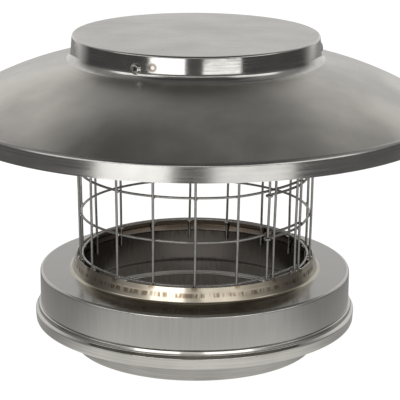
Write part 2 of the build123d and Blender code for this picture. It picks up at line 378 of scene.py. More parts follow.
def heat_tinted(settings, uprights):
    """Neck pressed bright, with the seam's own row of short brown strokes and straw oxide about it."""
    material, tree = new_material("Stainless steel, heat-tinted by welding")
    at = about_axis(tree)
    seam = COVER_HIGH.z - 4.6 * MM
    off_seam = add_node(tree, "ShaderNodeMath", {0: at.height, 1: seam}, operation="SUBTRACT")
    distance = add_node(tree, "ShaderNodeMath", {0: off_seam}, operation="ABSOLUTE")
    fade = {0: distance, 1: 0.7 * MM, 2: 2.2 * MM, 3: 1.0, 4: 0.0}
    band = add_node(tree, "ShaderNodeMapRange", fade, interpolation_type="SMOOTHSTEP")
    # Strokes stand about 1.8 mm apart round the neck
    stroke = streaks(tree, (at.turn, 1 / 44), (at.height, 12 * MM), 1.0)
    struck = add_node(tree, "ShaderNodeMapRange", {0: stroke, 1: 0.38, 2: 0.62, 3: 0.2, 4: 0.9})
    drawn = add_node(tree, "ShaderNodeMath", {0: band, 1: struck}, operation="MULTIPLY")
    # Patches of oxide are about 30 mm long
    patch = add_node(tree, "ShaderNodeTexNoise", {"Vector": at.place, "Scale": 1 / 0.030, "Detail": 2.0})
    spread = add_node(tree, "ShaderNodeMapRange", {0: patch, 1: 0.35, 2: 0.65, 3: 0.18, 4: 0.50})
    # Each upright's weld leaves a brown stain about 6 mm wide at the neck's top
    wave = add_node(tree, "ShaderNodeMath", {0: at.turn, 1: uprights}, operation="MULTIPLY")
    weld = add_node(tree, "ShaderNodeMath", {0: wave}, operation="COSINE")
    near_weld = add_node(tree, "ShaderNodeMapRange", {0: weld, 1: 0.72, 2: 0.98})
    near_top = add_node(tree, "ShaderNodeMapRange", {0: off_seam, 1: 0.0, 2: 4.0 * MM, 3: 0.0, 4: 0.85})
    stain = add_node(tree, "ShaderNodeMath", {0: near_weld, 1: near_top}, operation="MULTIPLY")
    marked = add_node(tree, "ShaderNodeMath", {0: drawn, 1: stain}, operation="MAXIMUM")
    share = add_node(tree, "ShaderNodeMath", {0: marked, 1: spread}, operation="MAXIMUM")
    tone = toned(tree, share, 0.0, 1.0, opaque(settings.straw), opaque(settings.tint))
    return end_metal(material, tone, (patch, 0.13, 0.20), (patch, 0.15, 0.5), (drawn, 0.12, 0.2))


def flue_dull_painted_shade(settings):
    """Inside of the liner: unpolished sheet with long grain, painted a dark brownish grey for the shade
    inside the tube.
    """
    material, tree = new_material("Stainless steel, dull inside the flue, painted shade")
    at = about_axis(tree)
    # Upright grain is 0.3 mm apart in the metal, and is drawn 1.9 mm apart so that it shows
    grain = streaks(tree, (at.turn, 1 / 40), (at.height, 9 * MM), 3.0)
    # Painted shade: the grain's tones are a dark share of the flue colour, for the shade inside the tube
    shaded_grain_tone = toned(tree, grain, 0.3, 0.7, opaque(settings.flue, 0.45), opaque(settings.flue, 0.62))
    # Welding the uprights' feet has browned the top 5 mm, and the brown fades out 9 mm down
    top = LINER_HIGH.z
    fade = {0: at.height, 1: top - 9 * MM, 2: top - 5 * MM, 3: 0.0, 4: 0.75}
    browned = {0: add_node(tree, "ShaderNodeMapRange", fade), 6: shaded_grain_tone, 7: opaque(settings.tint, 0.45)}
    tone = add_node(tree, "ShaderNodeMix", browned, data_type="RGBA").outputs[2]
    return end_metal(material, tone, (grain, 0.15, 0.24), (grain, 0.05, 0.3))


def polished_band(settings, name, painted_light_share):
    """Rolled ring or socket: bright and a little warm, with the mill's rings round it."""
    material, tree = new_material(name)
    at = about_axis(tree)
    # The mill's rings are 0.4 mm apart in the metal, and are drawn 0.9 mm apart so that they show
    marks = streaks(tree, (at.turn, 1 / 1.5), (at.height, 0.9 * MM), 2.0)
    # Worn patches are about 30 mm across
    cloud = add_node(tree, "ShaderNodeTexNoise", {"Vector": at.place, "Scale": 1 / 0.030, "Detail": 2.0})
    worn = add_node(tree, "ShaderNodeMix", {0: 0.6, 2: cloud, 3: marks}, data_type="FLOAT")
    # Painted light and shade: the share gives a lighter copy of this finish on the ring and a darker one on
    # the socket
    dark, light = opaque(settings.warm, 0.80 * painted_light_share), opaque(settings.warm, 1.04 * painted_light_share)
    tone = toned(tree, worn, 0.38, 0.62, dark, light)
    return end_metal(material, tone, (marks, 0.09, 0.16), (marks, 0.05, 0.1))


def drawn_wire(settings):
    """Bright drawn wire: its gloss and tone vary along it where it has been rubbed."""
    material, tree = new_material("Stainless wire, drawn bright")
    place = add_node(tree, "ShaderNodeTexCoord").outputs["Object"]
    # Rubbed spots are about 7 mm long
    spot = add_node(tree, "ShaderNodeTexNoise", {"Vector": place, "Scale": 1 / 0.007, "Detail": 2.0})
    tone = toned(tree, spot, 0.35, 0.7, opaque(settings.steel, 0.75), opaque(settings.steel))
    return end_metal(material, tone, (spot, 0.22, 0.36))


def weld_metal(settings):
    """Fused stainless: small frozen beads, bright with a brown skin in places."""
    material, tree = new_material("Stainless weld metal")
    place = add_node(tree, "ShaderNodeTexCoord").outputs["Object"]
    # Spots of skin are about 4 mm across
    skin = add_node(tree, "ShaderNodeTexNoise", {"Vector": place, "Scale": 1 / 0.004, "Detail": 2.0})
    tone = toned(tree, skin, 0.45, 0.75, opaque(settings.bright), opaque(settings.tint))
    return end_metal(material, tone, (skin, 0.18, 0.34), (skin, 0.3, 0.2))


def snapped_mandrel(settings):
    """Broken end of a rivet's mandrel: rough steel, painted near black for the shade in its hole."""
    material, tree = new_material("Steel mandrel, snapped, with painted shade")
    place = add_node(tree, "ShaderNodeTexCoord").outputs["Object"]
    # The break's grains are about 0.6 mm across
    grain = add_node(tree, "ShaderNodeTexNoise", {"Vector": place, "Scale": 1 / 0.0006, "Detail": 2.0})
    # Painted shade: the mandrel's tones are dark shares of the tint and flue colours, for the shade in the
    # rivet's hole
    tone = toned(tree, grain, 0.0, 1.0, opaque(settings.tint, 0.25), opaque(settings.flue, 0.4))
    return end_metal(material, tone, 0.5, (grain, 0.5, 0.1))


def studio_floor(settings):
    """Pale floor, faintly mottled, with a painted pool of light in front and close by that the metal mirrors;
    it shows white and keeps the shadow.
    """
    material, tree = new_material("Matt white studio floor")
    place = add_node(tree, "ShaderNodeTexCoord").outputs["Object"]
    # The mottle's spots are about 170 mm across
    mottle = add_node(tree, "ShaderNodeTexNoise", {"Vector": place, "Scale": 6.0, "Detail": 2.0})
    tone = toned(tree, mottle, 0.0, 1.0, opaque(settings.floor, 0.97), opaque(settings.floor))
    matt = add_node(tree, "ShaderNodeBsdfPrincipled", {"Base Color": tone, "Roughness": 0.9})
    # A painted pool of light, which the floor gives off to glossy rays: brighter in front, and strongest
    # within 0.13 m of the axis
    ahead = {0: from_front(tree, place), 1: math.radians(38), 2: math.radians(80), 3: 0.66, 4: 0.30}
    in_front = add_node(tree, "ShaderNodeMapRange", ahead, interpolation_type="SMOOTHSTEP")
    near = {0: off_axis(tree, place), 1: 130 * MM, 2: 240 * MM, 3: 1.45, 4: 1.0}
    close = add_node(tree, "ShaderNodeMapRange", near, interpolation_type="SMOOTHSTEP")
    painted_light_pool = add_node(tree, "ShaderNodeMath", {0: in_front, 1: close}, operation="MULTIPLY")
    # The camera sees the floor white, the metal mirrors its painted pool of light, and other rays see matt
    # paint
    path = add_node(tree, "ShaderNodeLightPath").outputs
    strength = add_node(tree, "ShaderNodeMix", {0: path["Is Camera Ray"], 2: painted_light_pool, 3: 1.3}, data_type="FLOAT")
    pale = add_node(tree, "ShaderNodeEmission", {"Color": opaque(settings.floor), "Strength": strength})
    seen = path["Is Camera Ray"]
    for ray in ("Is Glossy Ray", "Is Transmission Ray"):
        seen = add_node(tree, "ShaderNodeMath", {0: seen, 1: path[ray]}, operation="MAXIMUM")
    part = add_node(tree, "ShaderNodeMath", {0: seen, 1: 0.85}, operation="MULTIPLY")
    both = add_node(tree, "ShaderNodeMixShader", {0: part, 1: matt, 2: pale})
    add_node(tree, "ShaderNodeOutputMaterial", {"Surface": both})
    return material


# Objects and places


def new_object(name, data=None):
    """Object in the scene, with an empty mesh unless other data is given."""
    piece = bpy.data.objects.new(name, data or bpy.data.meshes.new(name))
    bpy.context.scene.collection.objects.link(piece)
    return piece


def seat(piece, slot, *nodes):
    """Fixes a piece to the cap's one body and hides the nodes that it stands for; the slot for its finish is
    not used.
    """
    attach(piece, "root")
    if nodes:
        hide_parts(*nodes)


def nodes_named(start):
    """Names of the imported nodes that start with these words."""
    return sorted(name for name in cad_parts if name.startswith(start))


def on_circle(radius, azimuth, height):
    """Point at a radius and azimuth; azimuth 0 is the front."""
    return Vector((radius * math.sin(azimuth), -radius * math.cos(azimuth), height))


# Spun sheet


def fanned(start, end, step):
    """Spokes of an arc's centre from its start to its end."""
    turn = start.angle(end)
    count = max(2, math.ceil(turn / step))
    shares = [index / count for index in range(count + 1)]
    return [
        (start * math.sin((1 - share) * turn) + end * math.sin(share * turn)) / math.sin(turn)
        for share in shares
    ]


def rounded(corners):
    """Profile through corners (radius, height, fillet), with an arc where a fillet is given."""
    points = []
    for index, (radius, height, fillet) in enumerate(corners):
        here = Vector((radius, height))
        if fillet == 0:
            points.append(here)
            continue
        back = (Vector(corners[index - 1][:2]) - here).normalized()
        ahead = (Vector(corners[index + 1][:2]) - here).normalized()
        half = back.angle(ahead) / 2
        centre = here + (back + ahead).normalized() * fillet / math.sin(half)
        start = here + back * fillet / math.tan(half) - centre
        end = here + ahead * fillet / math.tan(half) - centre
        points += [centre + spoke for spoke in fanned(start, end, math.radians(11))]
    return points


def held(profile, margin):
    """The profile with a point close to each end of its straights, which keeps their shading flat."""
    points = [profile[0]]
    for here, after in zip(profile, profile[1:]):
        span = after - here
        if span.length > 4 * margin:
            points += [here + span.normalized() * margin, after - span.normalized() * margin]
        points.append(after)
    return points


def bulged(start, end, bulge, step):
    """Corners between two ends on an arc that stands to the left of their chord."""
    chord = end - start
    left = Vector((-chord.y, chord.x)).normalized()
    radius = (chord.length_squared / 4 + bulge ** 2) / (2 * bulge)
    centre = (start + end) / 2 + left * (bulge - radius)
    spokes = fanned(start - centre, end - centre, step)
    return [(*(centre + spoke), 0) for spoke in spokes[1:-1]]


def set_in(profile, sheet):
    """The profile moved to its right by the sheet, mitred at each corner."""
    inner = []
    last = len(profile) - 1
    for index, here in enumerate(profile):
        first = (here - profile[index - 1] if index > 0 else profile[1] - here).normalized()
        second = (profile[index + 1] - here if index < last else here - profile[index - 1]).normalized()
        right = Vector((first.y, -first.x))
        mitre = (right + Vector((second.y, -second.x))).normalized()
        point = here + mitre * sheet / mitre.dot(right)
        inner.append(Vector((max(point.x, 0), point.y)))
    return inner


def sheet_section(corners, sheet, margin=0.3 * MM):
    """Closed section of a sheet whose outside runs through these corners."""
    outer = held(rounded(corners), margin)
    return outer + set_in(outer, sheet)[::-1]


def spin(name, section, steps, materials=(), band=lambda middle: 0):
    """Closed section spun round the axis; band gives the material's place for a middle point."""
    shape = bmesh.new()
    turns = [2 * math.pi * step / steps for step in range(steps)]
    rings = []
    for point in section:
        if point.x < POLE:
            rings.append([shape.verts.new((0, 0, point.y))])
        else:
            around = [(point.x * math.sin(turn), -point.x * math.cos(turn), point.y) for turn in turns]
            rings.append([shape.verts.new(place) for place in around])
    for index, ring in enumerate(rings):
        after = rings[(index + 1) % len(rings)]
        if len(ring) == 1 and len(after) == 1:
            continue
        place = band((section[index] + section[(index + 1) % len(section)]) / 2)
        for step in range(steps):
            beside = (step + 1) % steps
            corners = [ring[step % len(ring)], after[step % len(after)]]
            corners += [after[beside % len(after)], ring[beside % len(ring)]]
            face = shape.faces.new(list(dict.fromkeys(corners)))
            face.material_index = place
    bmesh.ops.recalc_face_normals(shape, faces=shape.faces)
    piece = new_object(name)
    shape.to_mesh(piece.data)
    shape.free()
    for material in materials:
        piece.data.materials.append(material)
    piece.data.shade_smooth()
    piece.data.set_sharp_from_angle(angle=SHARP)
    return piece


# Geometry Nodes


def new_geometry(name, inputs):
    """Geometry Nodes tree with these inputs and a material, and the node that gives them."""
    tree = bpy.data.node_groups.new(name, "GeometryNodeTree")
    tree.interface.new_socket("Geometry", in_out="OUTPUT", socket_type="NodeSocketGeometry")
    tree.interface.new_socket("Geometry", in_out="INPUT", socket_type="NodeSocketGeometry")
    for label, kind in {**inputs, "Material": "Material"}.items():
        tree.interface.new_socket(label, in_out="INPUT", socket_type="NodeSocket" + kind)
    return tree, add_node(tree, "NodeGroupInput")


def end_geometry(tree, given, geometry):
    """Ends a tree: instances made real, then given their material."""
    real = add_node(tree, "GeometryNodeRealizeInstances", {0: geometry})
    paint = {"Geometry": real, "Material": given.outputs["Material"]}
    painted = add_node(tree, "GeometryNodeSetMaterial", paint)
    add_node(tree, "NodeGroupOutput", {0: painted})


def set_on_points(tree, given, instance, **scale):
    """Sets an instance on each given point, turned outwards, and ends the tree."""
    facing = add_node(tree, "GeometryNodeInputNamedAttribute", {0: "outward"}, data_type="FLOAT_VECTOR")
    turned = add_node(tree, "FunctionNodeAlignRotationToVector", {"Vector": facing}, axis="Z")
    inputs = {"Points": given.outputs["Geometry"], "Instance": instance, "Rotation": turned, **scale}
    end_geometry(tree, given, add_node(tree, "GeometryNodeInstanceOnPoints", inputs))


def grow(name, source, tree, values):
    """Runs a tree on an object and leaves its result as a plain mesh."""
    modifier = source.modifiers.new("Grow", "NODES")
    modifier.node_group = tree
    sockets = [item for item in tree.interface.items_tree if item.in_out == "INPUT"]
    keys = {item.name: item.identifier for item in sockets}
    for label, value in values.items():
        modifier[keys[label]] = value
    graph = bpy.context.evaluated_depsgraph_get()
    mesh = bpy.data.meshes.new_from_object(source.evaluated_get(graph), depsgraph=graph)
    source.modifiers.remove(modifier)
    bpy.data.objects.remove(source)
    mesh.name = name
    mesh.shade_smooth()
    mesh.set_sharp_from_angle(angle=SHARP)
    return new_object(name, mesh)


def seeds(points, edges=(), outward=()):
    """Loose or joined points, with the way each one faces, for a tree to work on."""
    source = new_object("seeds")
    source.data.from_pydata([tuple(point) for point in points], list(edges), [])
    facing = source.data.attributes.new("outward", "FLOAT_VECTOR", "POINT")
    for index, direction in enumerate(outward):
        facing.data[index].vector = direction
    return source


def wire_tree():
    """Sweeps a round wire along joined points and lets it stray a little."""
    inputs = {"Wire Radius": "Float", "Sides": "Int", "Wander": "Float", "Seed": "Float"}
    tree, given = new_geometry("Drawn Wire", inputs)
    line = add_node(tree, "GeometryNodeMeshToCurve", {0: given.outputs["Geometry"]})
    place = add_node(tree, "GeometryNodeInputPosition")
    # One bend of the stray is about 50 mm long
    bends = {"Vector": place, "W": given.outputs["Seed"], "Scale": 1 / 0.050, "Detail": 1.0}
    noise = add_node(tree, "ShaderNodeTexNoise", bends, noise_dimensions="4D").outputs["Color"]
    centred = add_node(tree, "ShaderNodeVectorMath", {0: noise, 1: (0.5, 0.5, 0.5)}, operation="SUBTRACT")
    reach = {0: centred, "Scale": given.outputs["Wander"]}
    stray = add_node(tree, "ShaderNodeVectorMath", reach, operation="SCALE")
    moved = add_node(tree, "GeometryNodeSetPosition", {"Geometry": line, "Offset": stray})
    round_wire = {"Resolution": given.outputs["Sides"], "Radius": given.outputs["Wire Radius"]}
    circle = add_node(tree, "GeometryNodeCurvePrimitiveCircle", round_wire)
    swept = add_node(tree, "GeometryNodeCurveToMesh", {0: moved, 1: circle, "Fill Caps": True})
    end_geometry(tree, given, swept)
    return tree


def bead_tree():
    """Sets a small frozen bead of weld metal on each point, each a little different."""
    inputs = {"Bead Size": "Float", "Flatness": "Float", "Seed": "Int"}
    tree, given = new_geometry("Weld Beads", inputs)
    ball = add_node(tree, "GeometryNodeMeshUVSphere", {"Segments": 8, "Rings": 6, "Radius": 1.0})
    drawn = {2: 0.75, 3: 1.25, "Seed": given.outputs["Seed"]}
    varied = add_node(tree, "FunctionNodeRandomValue", drawn, data_type="FLOAT").outputs[1]
    wide = add_node(tree, "ShaderNodeMath", {0: varied, 1: given.outputs["Bead Size"]}, operation="MULTIPLY")
    deep = add_node(tree, "ShaderNodeMath", {0: wide, 1: given.outputs["Flatness"]}, operation="MULTIPLY")
    size = add_node(tree, "ShaderNodeCombineXYZ", {0: wide, 1: wide, 2: deep})
    set_on_points(tree, given, ball, Scale=size)
    return tree


def fastener_tree():
    """Sets one fastener on each point, its head turned outwards."""
    tree, given = new_geometry("Fasteners", {"Fastener": "Object"})
    fastener = add_node(tree, "GeometryNodeObjectInfo", {"Object": given.outputs["Fastener"]})
    set_on_points(tree, given, fastener.outputs["Geometry"])
    return tree


# Pieces


def make_hat(sheet, hat):
    """Rain hat: domed disc, burnished wall with its weld marks, satin brim and bright turned-down rim."""
    top = HAT_HIGH.z
    foot = Vector((hat.crown_radius + hat.crown_flare, top - hat.crown_height))
    edge = Vector((HAT_HIGH.x - hat.rim_flare, HAT_LOW.z + hat.rim_height))
    shoulder = hat.crown_radius - hat.crown_edge
    dome_end = shoulder - 2 * MM
    dome_steps = 8
    shares = [step / dome_steps for step in range(dome_steps + 1)]
    disc = [(share * dome_end, top - hat.crown_dome * share ** 2, 0) for share in shares]
    brim = bulged(foot, edge, hat.brim_bulge, math.radians(0.8))
    corners = disc + [
        (hat.crown_radius, top - hat.crown_dome, hat.crown_edge),
        (*foot, hat.crown_cove),
        *[corner for corner in brim if corner[0] > foot.x + hat.crown_cove],
        (*edge, hat.rim_edge),
        (HAT_HIGH.x, HAT_LOW.z, 0),
    ]
    section = sheet_section(corners, sheet.sheet)

    def band(middle):
        """Satin brim, burnished wall, disc as milled, bright rim."""
        if middle.x < shoulder + 0.4 * MM:
            return 2
        if middle.x > edge.x - hat.rim_edge / 2:
            return 3
        return 1 if middle.x < foot.x + hat.crown_cove / 3 else 0

    welds = []
    for index in range(hat.rivet_count):
        azimuth = hat.rivet_azimuth + hat.weld_beside + index * math.tau / hat.rivet_count
        welds.append(on_circle(foot.x - hat.crown_flare / 2, azimuth, hat.rivet_height + hat.weld_rise))
    finishes = [
        spun_satin(sheet),
        burnished(sheet, "Stainless steel, burnished by the roller", 0.10, welds),
        mill_satin(sheet),
        burnished(sheet, "Stainless steel, rim turned down bright", 0.18),
    ]
    piece = spin("rain_hat_spun", section, sheet.round_steps, finishes, band)
    seat(piece, "spun_hat", "rain_hat")


def make_cover(sheet, base, uprights):
    """Base cover: heat-tinted neck, flat top and cold-rolled skirt in one sheet."""
    flat = COVER_HIGH.z - base.neck_rise
    casing = COVER_HIGH.x
    neck_foot = base.neck_top_radius + base.neck_spread
    corners = [
        (base.neck_top_radius, COVER_HIGH.z, 0),
        (neck_foot, flat, base.neck_cove),
        (casing, flat, base.skirt_edge),
        (casing, COVER_LOW.z, 0),
    ]
    section = sheet_section(corners, sheet.sheet)

    def band(middle):
        """Tinted neck, flat top with painted shade, then the skirt."""
        if middle.x < neck_foot + 1.5 * MM:
            return 1
        return 2 if middle.x < casing - base.skirt_edge else 0

    finishes = [
        rolled_sheet(sheet, "Stainless steel sheet, cold-rolled", 1.0),
        heat_tinted(sheet, uprights),
        # Painted shade: the flat top is a darker copy of the rolled sheet, for the shade under the hat
        rolled_sheet(sheet, "Stainless steel sheet, flat top with painted shade", 0.66),
    ]
    piece = spin("base_cover_rolled", section, sheet.round_steps, finishes, band)
    seat(piece, "base_sheet", "base_cover")


def make_liner(sheet, base):
    """Flue liner: bore, taper and bell socket with a rolled bead."""
    socket = base.socket
    bend = 1.5 * MM
    bead_slope = 1.6 * MM
    swage_slope = 3.9 * MM
    corners = [
        (socket, LINER_LOW.z, 0),
        (socket, base.bead_height - bead_slope, bend),
        (socket + base.bead_reach, base.bead_height, 0.9 * MM),
        (socket, base.bead_height + bead_slope, bend),
        (socket, base.socket_depth, bend),
        (base.bore, base.socket_depth + base.socket_taper, bend),
        (base.bore, base.swage_height - swage_slope, 2 * bend),
        (base.bore + base.swage_reach, base.swage_height, 2 * MM),
        (base.bore, LINER_HIGH.z, 0),
    ]
    section = sheet_section(corners, sheet.sheet)

    def inside(middle):
        """Bright outside the socket, though painted a little darker for shade; dull and painted dark for
        shade everywhere else.
        """
        outside = middle.y < base.socket_depth and middle.x > socket + sheet.sheet / 4
        return 0 if outside else 1

    # Painted shade: the socket is a darker copy of the band's finish, and the rest of the liner takes the
    # flue's painted shade
    finishes = [polished_band(sheet, "Stainless steel, rolled socket", 0.80), flue_dull_painted_shade(sheet)]
    piece = spin("flue_liner_rolled", section, sheet.round_steps, finishes, inside)
    seat(piece, "liner_sheet", "flue_liner")


def make_ring(sheet, base):
    """Locking ring: flange, bright shoulder bead, groove, bulged band and curled lip."""
    clearance = 0.1 * MM
    bead_brow = 0.3 * MM
    shoulder = COVER_LOW.z - clearance
    bead = base.flange_radius + base.ring_bead_reach
    bead_top = shoulder - clearance
    bead_bottom = bead_top - bead_brow - base.ring_bead_height
    groove = bead - base.ring_groove_depth
    groove_height = bead_bottom - base.ring_groove_drop
    band_edge = groove + base.ring_band_reach
    band_top = groove_height - base.ring_band_drop
    band_bottom = band_top - base.ring_band_height
    band_foot = band_edge - base.ring_band_taper
    # The lip ends just above the bottom of the solid
    lip = RING_LOW.z + 0.52 * MM
    corners = [
        (base.flange_radius, RING_HIGH.z, 0),
        (base.flange_radius, shoulder, 0.2 * MM),
        (bead - base.ring_bead_lean, bead_top, 0.7 * MM),
        (bead, bead_bottom, 0.5 * MM),
        (groove, groove_height, 0.4 * MM),
        (band_edge, band_top, 0.9 * MM),
        (band_foot, band_bottom, 1.6 * MM),
        (band_foot - base.ring_curl_reach, lip, 0),
    ]
    section = sheet_section(corners, sheet.sheet, margin=0.15 * MM)
    # Painted light: the ring, polished as it is, is drawn as a lighter copy of the band's finish
    finishes = [polished_band(sheet, "Stainless steel, polished band", 1.12)]
    piece = spin("locking_ring_rolled", section, sheet.round_steps, finishes)
    seat(piece, "rolled_ring", "locking_ring")


def upright_radius(screen, height):
    """Radius of the uprights' centre lines."""
    low = COVER_HIGH.z
    high = HAT_HIGH.z - screen.top_drop + screen.stub_above
    share = (height - low) / (high - low)
    return screen.foot_radius + (screen.head_radius - screen.foot_radius) * share


def stands(screen, azimuth, height):
    """Point on an upright's centre line; the whole screen sits a little aside and leans."""
    radius = upright_radius(screen, height)
    low = COVER_HIGH.z - screen.stub_below
    share = (height - low) / (HAT_HIGH.z - low)
    shift = screen.aside / 2 + screen.lean * (1 - share)
    return on_circle(radius, azimuth + shift * math.cos(azimuth) / radius, height)


def mesh_lines(screen):
    """Where the mesh's wires run: its uprights' azimuths, its rings' heights and its lap."""
    cell = math.tau / screen.cells
    start = screen.first_azimuth + screen.lap_cell * cell
    near = start - screen.lap_slip
    low = COVER_HIGH.z
    rise = HAT_HIGH.z - screen.top_drop - low
    azimuths = [screen.first_azimuth + index * cell for index in range(screen.cells)]
    heights = [low + rise * index / (screen.rings - 1) for index in range(screen.rings)]
    azimuths += [near, near + cell]
    end = start + cell + math.tau
    return SimpleNamespace(cell=cell, start=start, near=near, end=end, azimuths=azimuths, heights=heights)


def lap_level(screen, mesh, azimuth):
    """Height of a ring's wire off the ring's middle: low where it starts, high where it ends."""
    ramp = math.radians(20)
    low = min(1, max(0, 1 - (azimuth - mesh.start - mesh.cell) / ramp))
    high = min(1, max(0, 1 - (mesh.start + math.tau - azimuth) / ramp))
    return (high - low) * screen.lap_step / 2


def hook(screen, azimuth, height, side):
    """Points of the hook that turns a ring's end back round its upright."""
    clearance = 0.1 * MM
    reach = 2 * screen.wire_radius + clearance
    centre = stands(screen, azimuth, height)
    inward = on_circle(-reach, azimuth, 0)
    along = on_circle(side * reach, azimuth + math.pi / 2, 0)
    turns = [math.radians(20 * bend) for bend in range(1, 11)]
    return [centre + inward * math.cos(turn) + along * math.sin(turn) for turn in turns]


def chain(points, edges, line):
    """Adds a line of points, joined one to the next."""
    first = len(points)
    points += line
    edges += [(first + index, first + index + 1) for index in range(len(line) - 1)]


def make_uprights(screen, mesh, tree, values):
    """Uprights: straight wires that stand inside the neck and end above the top ring."""
    foot = mesh.heights[0] - screen.stub_below
    head = mesh.heights[-1] + screen.stub_above
    steps = 14
    levels = [foot + (head - foot) * step / steps for step in range(steps + 1)]
    points, edges = [], []
    for azimuth in mesh.azimuths:
        chain(points, edges, [stands(screen, azimuth, level) for level in levels])
    piece = grow("screen_uprights", seeds(points, edges), tree, values)
    seat(piece, "screen_wire", *nodes_named("screen_upright"))


def make_rings(screen, mesh, tree, values):
    """Rings: each laps itself by one cell, and all but the lowest and the highest end in hooks."""
    clearance = 0.02 * MM
    inset = 2 * screen.wire_radius + clearance
    half_step = screen.lap_step / 2
    steps = 95
    turns = [mesh.near + (mesh.end - mesh.near) * step / steps for step in range(steps + 1)]
    points, edges = [], []
    for index, height in enumerate(mesh.heights):
        radius = upright_radius(screen, height - half_step) - inset
        line = [on_circle(radius, turn, height + lap_level(screen, mesh, turn)) for turn in turns]
        if 0 < index < screen.rings - 1:
            low_hook = hook(screen, mesh.near, height - half_step, -1)
            high_hook = hook(screen, mesh.end, height + half_step, 1)
            line = low_hook[::-1] + line + high_hook
        chain(points, edges, line)
    piece = grow("screen_rings", seeds(points, edges), tree, values)
    seat(piece, "screen_wire", *nodes_named("screen_ring"))


def make_beads(sheet, screen, mesh):
    """Weld metal: a bead where two wires cross, and a flatter, wider one at each upright's foot."""
    crossings, outward = [], []
    for height in mesh.heights:
        for azimuth in mesh.azimuths[:screen.cells]:
            lapped = azimuth + math.tau if azimuth < mesh.start else azimuth
            level = height + lap_level(screen, mesh, lapped)
            crossings.append(stands(screen, azimuth, level) - on_circle(screen.wire_radius, azimuth, 0))
            outward.append(on_circle(1, azimuth, 0))
    neck_top = LINER_HIGH.z - 0.4 * MM
    feet = [stands(screen, azimuth, neck_top) for azimuth in mesh.azimuths]
    upward = [Vector((0, 0, 1))] * len(feet)
    tree = bead_tree()
    metal = weld_metal(sheet)
    for name, points, ways, size, flatness in (
        ("screen_welds", crossings, outward, screen.bead_size, 0.7),
        ("neck_welds", feet, upward, screen.foot_bead, 0.6),
    ):
        values = {"Bead Size": size, "Flatness": flatness, "Seed": 11, "Material": metal}
        seat(grow(name, seeds(points, outward=ways), tree, values), "screen_wire")


def make_screen(sheet, screen):
    """Screen: swept wires that lap and hook, with a frozen bead where they cross and at their feet."""
    mesh = mesh_lines(screen)
    tree = wire_tree()
    values = {
        "Wire Radius": screen.wire_radius,
        "Sides": screen.wire_sides,
        "Wander": screen.wander,
        "Seed": 3.0,
        "Material": drawn_wire(screen),
    }
    make_uprights(screen, mesh, tree, values)
    make_rings(screen, mesh, tree, values)
    make_beads(sheet, screen, mesh)


def set_round(name, shape, sides, finish, tree, points, ways):
    """Spins one round fastener and sets it on every point."""
    template = spin("fastener", shape, sides)
    values = {"Fastener": template, "Material": finish}
    piece = grow(name, seeds(points, outward=ways), tree, values)
    bpy.data.objects.remove(template)
    return piece


def make_rivets(sheet, hat):
    """Blind rivets: a domed head over the stub of its snapped mandrel, set round the crown's wall."""
    lean = math.atan2(hat.crown_flare, hat.crown_height)
    drop = HAT_HIGH.z - hat.rivet_height
    radius = hat.crown_radius + hat.crown_flare * drop / hat.crown_height
    points, ways = [], []
    for index in range(hat.rivet_count):
        azimuth = hat.rivet_azimuth + index * math.tau / hat.rivet_count
        points.append(on_circle(radius, azimuth, hat.rivet_height))
        ways.append(on_circle(math.cos(lean), azimuth, math.sin(lean)))
    tree = fastener_tree()

    dome = hat.rivet_dome
    head = hat.rivet_radius
    mouth = dome * 0.92
    shank = 2.0 * MM
    shank_end = -1.2 * MM
    gap = 0.02 * MM
    corners = [
        (hat.rivet_bore, shank_end, 0),
        (hat.rivet_bore, mouth, 0.25 * MM),
        (head * 0.62, dome * 0.9, 1.2 * MM),
        (head, dome * 0.25, 0.35 * MM),
        (head, gap, 0),
        (shank, gap, 0),
        (shank, shank_end, 0),
    ]
    finish = burnished(sheet, "Stainless steel, rivet head", 0.12)
    piece = set_round("crown_rivets", rounded(corners), 32, finish, tree, points, ways)
    seat(piece, "rivet", *nodes_named("crown_rivet"))

    pin = hat.rivet_bore - gap
    bottom = shank_end + 0.1 * MM
    top = mouth - hat.mandrel_depth
    stub = [Vector(corner) for corner in ((0, bottom), (pin, bottom), (pin, top), (0, top))]
    piece = set_round("rivet_mandrels", stub, 24, snapped_mandrel(sheet), tree, points, ways)
    seat(piece, "rivet")


def dress_clips(sheet):
    """Clips keep their solids and take the cold-rolled finish."""
    material = rolled_sheet(sheet, "Stainless steel strip, cold-rolled", 1.0)
    for name in nodes_named("hat_clip"):
        clip = bpy.data.objects[name]
        clip.data.materials.clear()
        clip.data.materials.append(material)


# Stage


def lay_floor(studio):
    """Round floor under the part."""
    steps = 96
    around = [on_circle(studio.floor_radius, math.tau * step / steps, 0) for step in range(steps)]
    floor = new_object("floor")
    floor.data.from_pydata([tuple(point) for point in around], [], [list(range(steps))])
    floor.data.materials.append(studio_floor(studio))


def aim_camera(studio):
    """Camera at the photograph's angle."""
    lens = bpy.data.cameras.new("camera")
    lens.sensor_width = 36
    lens.lens = studio.focal
    lens.clip_start = 0.05
    lens.clip_end = 50
    camera = new_object("camera", lens)
    target = Vector((studio.target_right, 0, studio.target_height))
    back = Vector((0, -math.cos(studio.elevation), math.sin(studio.elevation)))
    camera.location = target + back * studio.distance
    upright = Matrix.Rotation(math.pi / 2 - studio.elevation, 3, "X")
    camera.rotation_euler = (Matrix.Rotation(studio.roll, 3, back) @ upright).to_euler()
    bpy.context.scene.camera = camera


